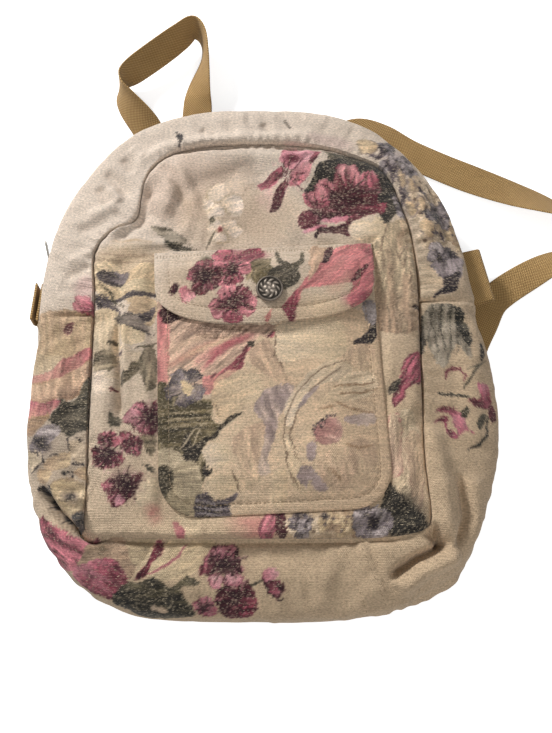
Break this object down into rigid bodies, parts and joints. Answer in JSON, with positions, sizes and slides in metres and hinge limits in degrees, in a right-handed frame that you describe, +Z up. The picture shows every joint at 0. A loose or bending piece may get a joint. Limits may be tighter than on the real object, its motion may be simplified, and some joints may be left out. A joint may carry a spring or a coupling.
{
  "type": "backpack",
  "caption": "Soft floral tapestry backpack lying on its back, with a zipped arched gusset, a flapped front pocket with a snap button, and webbing shoulder straps.",
  "frame": {"origin": "on the back face, at the centre of the arch that the zip follows", "axes": "+Z up out of the front panel, +Y towards the top of the bag, +X to the right as the front is seen"},
  "size_m": [0.458, 0.4932, 0.0693],
  "materials": {
    "tapestry": "woven",
    "webbing": "woven",
    "zip_tape": "woven",
    "zip_chain": "satin",
    "zip_metal": "satin",
    "old_silver": "antique"
  },
  "bodies": {
    "bag": {"front_panel": "tapestry", "back_panel": "tapestry", "zip_gusset_front": "tapestry", "zip_gusset_rear": "tapestry", "lower_gusset_left": "tapestry", "lower_gusset_right": "tapestry", "zip_tape_front": "zip_tape", "zip_tape_rear": "zip_tape", "zip_chain_front": "zip_chain", "zip_chain_rear": "zip_chain", "zip_stops": "zip_metal", "zip_tab_left": "webbing", "zip_tab_right": "webbing", "pocket_panel": "tapestry", "pocket_flap": "tapestry", "button_cap": "old_silver", "snap_socket": "old_silver", "snap_stud": "old_silver", "shoulder_strap_left": "webbing", "shoulder_strap_right": "webbing"},
    "slider": {"zip_slider": "zip_metal"},
    "pull": {"zip_pull": "zip_metal"}
  },
  "joints": [
    {"name": "zip_run", "type": "hinge", "parent": "bag", "child": "slider", "pos_m": [0, 0, 0.02], "axis": [0, 0, 1], "range_deg": [-132, 0]},
    {"name": "pull_swing", "type": "hinge", "parent": "slider", "child": "pull", "pos_m": [-0.16141, 0.05076, 0.02], "axis": [0, 0, 1], "range_deg": [-30, 110]}
  ]
}
